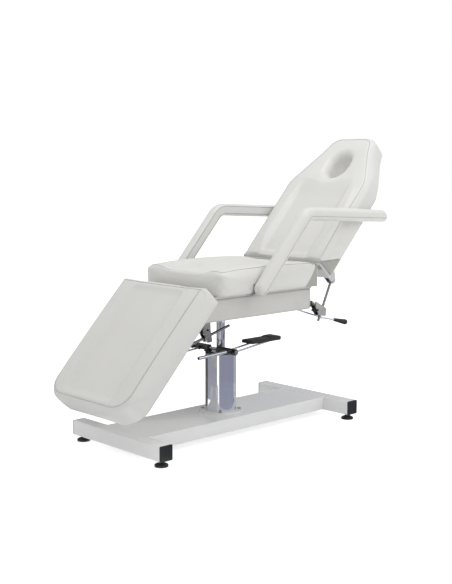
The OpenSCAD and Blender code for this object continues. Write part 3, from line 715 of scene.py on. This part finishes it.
def vinyl(light, dark, rough_low=0.34, rough_high=0.46):
    """Soft coated fabric: fine pebble grain, faint creases, and slow tone changes."""

    def build(tree, shader):
        coords = coordinates(tree)
        tint(tree, shader, noise(tree, 5.0, 3.0, 0.6, coords), dark, light)
        wear(tree, shader, noise(tree, 30.0, 3.0, 0.6, coords), rough_low, rough_high)
        grain = node(tree, "ShaderNodeTexVoronoi", feature="DISTANCE_TO_EDGE")
        grain.inputs["Scale"].default_value = 620.0
        tree.links.new(coords, grain.inputs["Vector"])
        fine = bump(tree, shader, grain.outputs["Distance"], 0.18, 0.0006)
        bump(tree, shader, noise(tree, 26.0, 5.0, 0.65, coords), 0.22, 0.0035, fine)
        shader.inputs["Coat Weight"].default_value = 0.12
        shader.inputs["Coat Roughness"].default_value = 0.28
        shader.inputs["Specular IOR Level"].default_value = 0.45

    return build


def paint(colour, dark, roughness, coat, orange_peel=0.05):
    """Sprayed enamel with a faint orange peel."""

    def build(tree, shader):
        coords = coordinates(tree)
        tint(tree, shader, noise(tree, 8.0, 4.0, 0.6, coords), dark, colour)
        wear(tree, shader, noise(tree, 60.0, 3.0, 0.5, coords), roughness * 0.85, roughness * 1.2)
        bump(tree, shader, noise(tree, 240.0, 2.0, 0.5, coords), orange_peel, 0.0004)
        shader.inputs["Coat Weight"].default_value = coat
        shader.inputs["Coat Roughness"].default_value = 0.06

    return build


def metal(colour, dark, rough_low, rough_high, brushed=0.0):
    """Plated or brushed metal with uneven polish."""

    def build(tree, shader):
        coords = coordinates(tree)
        shader.inputs["Metallic"].default_value = 1.0
        tint(tree, shader, noise(tree, 22.0, 5.0, 0.6, coords), dark, colour)
        wear(tree, shader, noise(tree, 45.0, 4.0, 0.6, coords), rough_low, rough_high)
        if brushed:
            squeeze = node(tree, "ShaderNodeMapping")
            squeeze.inputs["Scale"].default_value = (900.0, 40.0, 900.0)
            tree.links.new(coords, squeeze.inputs["Vector"])
            bump(tree, shader, noise(tree, 1.0, 2.0, 0.5, squeeze.outputs["Vector"]), brushed, 0.0003)

    return build


def moulded(colour, dark, roughness, grain_scale=900.0, strength=0.2):
    """Moulded plastic or rubber with a fine spark grain."""

    def build(tree, shader):
        coords = coordinates(tree)
        tint(tree, shader, noise(tree, 18.0, 5.0, 0.6, coords), dark, colour, 0.35)
        wear(tree, shader, noise(tree, 70.0, 4.0, 0.6, coords), roughness * 0.85, roughness * 1.15)
        bump(tree, shader, noise(tree, grain_scale, 3.0, 0.6, coords), strength, 0.0004)

    return build


def ribbed_rubber(colour, dark):
    """Pedal rubber with fine cross ribs and a dusty, uneven face."""

    def build(tree, shader):
        coords = coordinates(tree)
        tint(tree, shader, noise(tree, 40.0, 6.0, 0.65, coords), dark, colour, 0.3, 0.75)
        wear(tree, shader, noise(tree, 90.0, 4.0, 0.6, coords), 0.5, 0.75)
        ribs = node(tree, "ShaderNodeTexWave", wave_type="BANDS", bands_direction="Y")
        ribs.inputs["Scale"].default_value = 45.0
        tree.links.new(coords, ribs.inputs["Vector"])
        ridge = bump(tree, shader, ribs.outputs["Fac"], 0.5, 0.0012)
        bump(tree, shader, noise(tree, 700.0, 3.0, 0.6, coords), 0.25, 0.0004, ridge)

    return build


white_vinyl = material("white_vinyl", vinyl((0.705, 0.702, 0.68), (0.675, 0.672, 0.65)))
# the welts' darker grey is painted shade along the sewn seam lines
seam_shade_vinyl = material("painted_seam_shade_vinyl", vinyl((0.44, 0.435, 0.415), (0.38, 0.375, 0.355)))
# dark grey for the panels in the tucked corners: painted shade of the recesses
painted_shade_vinyl = material("painted_shade_vinyl", vinyl((0.40, 0.41, 0.37), (0.34, 0.35, 0.315), 0.5, 0.65))
apron_vinyl = material("apron_vinyl", vinyl((0.60, 0.595, 0.565), (0.56, 0.555, 0.525), 0.36, 0.48))
board_vinyl = material("board_vinyl", vinyl((0.62, 0.615, 0.59), (0.57, 0.565, 0.54), 0.5, 0.62))
white_paint = material("white_enamel", paint((0.87, 0.87, 0.865), (0.85, 0.85, 0.845), 0.22, 0.5))
black_paint = material("black_enamel", paint((0.035, 0.036, 0.04), (0.022, 0.022, 0.026), 0.38, 0.3))
chrome = material("chrome_plate", metal((0.83, 0.84, 0.87), (0.78, 0.79, 0.83), 0.04, 0.09))
zinc = material("zinc_plate", metal((0.48, 0.485, 0.50), (0.40, 0.405, 0.42), 0.24, 0.38, 0.25))
strut_steel = material("strut_steel", metal((0.34, 0.33, 0.32), (0.25, 0.24, 0.235), 0.16, 0.28, 0.2))
black_plastic = material("black_plastic", moulded((0.018, 0.018, 0.019), (0.010, 0.010, 0.011), 0.42))
black_rubber = material(
    "foot_rubber", moulded((0.022, 0.022, 0.022), (0.012, 0.012, 0.012), 0.62, 500.0, 0.35)
)
pedal_rubber = material("pedal_rubber", ribbed_rubber((0.030, 0.031, 0.029), (0.018, 0.018, 0.017)))
white_board = material("white_board", paint((0.72, 0.72, 0.70), (0.68, 0.68, 0.66), 0.32, 0.25))

node_materials = {
    white_paint: "base_plate foot_crossbar head_crossbar pump_flange",
    black_plastic: "crossbar_end_caps shroud_cap clamp_jaws rear_pedal_hub front_pedal_hub lever_knob",
    black_rubber: "foot_front_left foot_front_right foot_rear_left foot_rear_right",
    pedal_rubber: "rear_pedal_pad front_pedal_pad",
    zinc: "levelling_nuts base_bolts pedal_shaft hinge_pins back_hinge_seat_leaf leg_hinge_seat_leaf "
    "back_hinge_leaf leg_hinge_leaf back_strut_bracket leg_strut_bracket armrest_brackets armrest_bolts "
    "left_armrest_plate right_armrest_plate piston_head",
    black_paint: "pump_cylinder pump_head mounting_plate cross_members seat_rails",
    chrome: "pump_shroud piston_rod pump_plunger rear_pedal_loop front_pedal_loop rear_pedal_tube "
    "release_lever",
    strut_steel: "back_strut leg_strut back_clamp_bracket leg_clamp_bracket",
    board_vinyl: "seat_board back_board leg_board",
    white_board: "seat_rear_board back_end_board",
    apron_vinyl: "apron_side_panels apron_front_panel apron_rear_panel",
    white_vinyl: "seat_cushion back_cushion leg_cushion left_armrest_pad right_armrest_pad",
}
for mat, names in node_materials.items():
    for name in names.split():
        obj = frame["nodes"][name]
        obj.data.materials.clear()
        obj.data.materials.append(mat)

# ---------------------------------------------------------------- seams, and handing pieces to their bodies
SEAM_INSET = 0.0185
GROOVE_DEPTH, WELT_RADIUS, WELT_SINK = 0.0016, 0.0009, 0.0010


def hand_over(pad, welts, place, body, nodes):
    """Puts a sewn pad in place, in its material, on its body and in the place of its CAD nodes."""
    for piece in [pad] + welts:
        piece.data.transform(place)
        if place.determinant() < 0:
            piece.data.flip_normals()
        piece.data.materials.clear()
        # welts take the darker seam material: painted shade along the seams
        piece.data.materials.append(white_vinyl if piece is pad else seam_shade_vinyl)
        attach(piece, body)
    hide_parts(*nodes)


def dress(obj, loop, top, place, body, node_name, above=None):
    """Sews the seam into a cushion and hands it over. The seam may stop above a lower edge."""
    path = seam_path(obj, loop, SEAM_INSET, top)
    if above is not None:
        kept = path[:, 1] > above
        first = int(np.where(kept & ~np.roll(kept, 1))[0][0])
        path = np.roll(path, -first, 0)[: int(kept.sum())]
    groove(obj, path, GROOVE_DEPTH, 0.0040)
    lowered = path - np.array([0, 0, WELT_SINK])
    welt = tube(f"{obj.name}_welt_0", lowered, WELT_RADIUS, closed=above is None)
    hand_over(obj, [welt], place, body, [node_name])


# the tucked corners get dark grey panels: painted shade
shade_panel("seat_corner_shade_panel", SEAT_CORNER, 0.2328, SEAT, "seat")
shade_panel("backrest_corner_shade_panel", BACK_CORNER, 0.2348, BACK, "backrest")
apron.data.transform(SEAT)
apron.data.materials.append(apron_vinyl)
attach(apron, "seat")
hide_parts("apron_side_panels", "apron_front_panel", "apron_rear_panel")
dress(seat, seat_loop, SEAT_HIGH, SEAT, "seat", "seat_cushion")
dress(back, back_loop, BACK_HIGH, BACK, "backrest", "back_cushion", above=0.036)
dress(leg, leg_loop, LEG_HIGH, LEG, "leg_rest", "leg_cushion")
for side, (pad, place) in pads.items():
    outer_seam = arm_seam(pad, 0.009, ARM_OUTER + 0.05, -1)
    inner_seam = arm_seam(pad, 0.016, ARM_INNER - 0.05, 1)
    groove(pad, outer_seam, GROOVE_DEPTH, 0.0036)
    welts = [
        tube(side + "_armrest_welt_outer", outer_seam - np.array([0, 0, WELT_SINK]), WELT_RADIUS),
        tube(side + "_armrest_welt_inner", inner_seam + np.array([0, 0, 0.0004]), WELT_RADIUS),
    ]
    hand_over(pad, welts, place, side + "_armrest", [side + "_armrest_pad"])

# ---------------------------------------------------------------- stage, lights, camera
scene = bpy.context.scene
scene.view_settings.view_transform = "Standard"

AMBIENT = 0.76  # how brightly the white surroundings light the bed; the camera sees them as pure white
world = bpy.data.worlds.new("studio")
world.use_nodes = True
sky = world.node_tree.nodes["Background"]
sky.inputs["Color"].default_value = (1, 1, 1, 1)
rays = world.node_tree.nodes.new("ShaderNodeLightPath")
level = world.node_tree.nodes.new("ShaderNodeMapRange")
level.inputs["To Min"].default_value = AMBIENT
level.inputs["To Max"].default_value = 1.0
world.node_tree.links.new(rays.outputs["Is Camera Ray"], level.inputs["Value"])
world.node_tree.links.new(level.outputs["Result"], sky.inputs["Strength"])
scene.world = world

floor = link("floor", [(-30, -30, 0), (30, -30, 0), (30, 30, 0), (-30, 30, 0)], [(0, 1, 2, 3)])


def floor_shader(tree, shader):
    tint(tree, shader, noise(tree, 3.0), (0.90, 0.90, 0.90), (0.91, 0.91, 0.91))
    shader.inputs["Roughness"].default_value = 0.6
    shader.inputs["Emission Color"].default_value = (1, 1, 1, 1)
    path = node(tree, "ShaderNodeLightPath")
    seen = node(tree, "ShaderNodeMath", operation="MAXIMUM")
    tree.links.new(path.outputs["Is Camera Ray"], seen.inputs[0])
    tree.links.new(path.outputs["Is Glossy Ray"], seen.inputs[1])
    glow = node(tree, "ShaderNodeMapRange")
    glow.inputs["To Min"].default_value = 0.10
    glow.inputs["To Max"].default_value = 0.6
    tree.links.new(seen.outputs[0], glow.inputs["Value"])
    tree.links.new(glow.outputs["Result"], shader.inputs["Emission Strength"])


floor.data.materials.append(material("floor", floor_shader))


def area_light(name, place, target, size, power, colour=(1, 1, 1)):
    data = bpy.data.lights.new(name, "AREA")
    data.shape = "RECTANGLE"
    data.size, data.size_y = size
    data.energy = power
    data.color = colour
    obj = bpy.data.objects.new(name, data)
    obj.location = place
    obj.rotation_euler = (Vector(target) - Vector(place)).to_track_quat("-Z", "Y").to_euler()
    scene.collection.objects.link(obj)
    return obj


area_light("key", (2.2, 0.9, 2.4), (0, 0, 0.8), (1.6, 1.6), 12)
area_light("top", (0.2, 0.1, 3.2), (0, 0, 0.6), (1.5, 1.5), 20)


def studio_wall(name, first, last, radius, foot, high, colour, near=None):
    """A grey wall round the column that only glossy rays see, with a strip of floor if near is given."""
    columns, rows = 48, 10
    levels = [(radius, foot + (high - foot) * r / rows) for r in range(rows + 1)]
    if near:
        levels = [(near + (radius - near) * r / rows, 0.003) for r in range(rows)] + levels
    rows = len(levels) - 1
    side = Vector((math.cos(AZIMUTH), math.sin(AZIMUTH)))
    ahead = Vector((math.sin(AZIMUTH), -math.cos(AZIMUTH)))
    verts, faces = [], []
    for c in range(columns + 1):
        a = math.radians(first + (last - first) * c / columns)
        spot = ahead * math.cos(a) + side * math.sin(a)
        verts += [(spot.x * reach, spot.y * reach + column_y, z) for reach, z in levels]
    for c in range(columns):
        for r in range(rows):
            a = c * (rows + 1) + r
            faces.append((a, a + 1, a + rows + 2, a + rows + 1))

    def shade(tree, shader):
        shader.inputs["Base Color"].default_value = (0, 0, 0, 1)
        tone = ramp(tree, noise(tree, 1.5), [(0.3, tuple(0.94 * c for c in colour)), (0.7, colour)])
        tree.links.new(tone, shader.inputs["Emission Color"])
        shader.inputs["Emission Strength"].default_value = 1.0

    wall = link(name, verts, faces)
    wall.data.materials.append(material(name, shade))
    wall.visible_camera = wall.visible_diffuse = wall.visible_shadow = wall.visible_transmission = False


AZIMUTH, ELEVATION = math.radians(46.93), math.radians(7.163)
studio_wall("studio_wall_right", -12, 108, 1.0, 0.003, 0.31, (0.27, 0.285, 0.36), near=0.1)
studio_wall("studio_wall_far", 108, 178, 1.0, 0.003, 0.36, (0.42, 0.43, 0.47), near=0.1)
studio_wall("studio_wall_left", -108, -26, 1.0, 0.003, 0.36, (0.33, 0.34, 0.39), near=0.62)
studio_wall("studio_wall_edge", -178, -108, 1.0, 0.003, 0.36, (0.10, 0.10, 0.105), near=0.1)

camera_data = bpy.data.cameras.new("camera")
camera_data.lens = 64.0
camera_data.sensor_width = 36.0
camera = bpy.data.objects.new("camera", camera_data)
camera_back = Vector((
    math.sin(AZIMUTH) * math.cos(ELEVATION), -math.cos(AZIMUTH) * math.cos(ELEVATION), math.sin(ELEVATION)
))
camera.location = (3.133, -2.899 + column_y, 1.118)
camera.rotation_euler = (-camera_back).to_track_quat("-Z", "Y").to_euler()
scene.collection.objects.link(camera)
scene.camera = camera
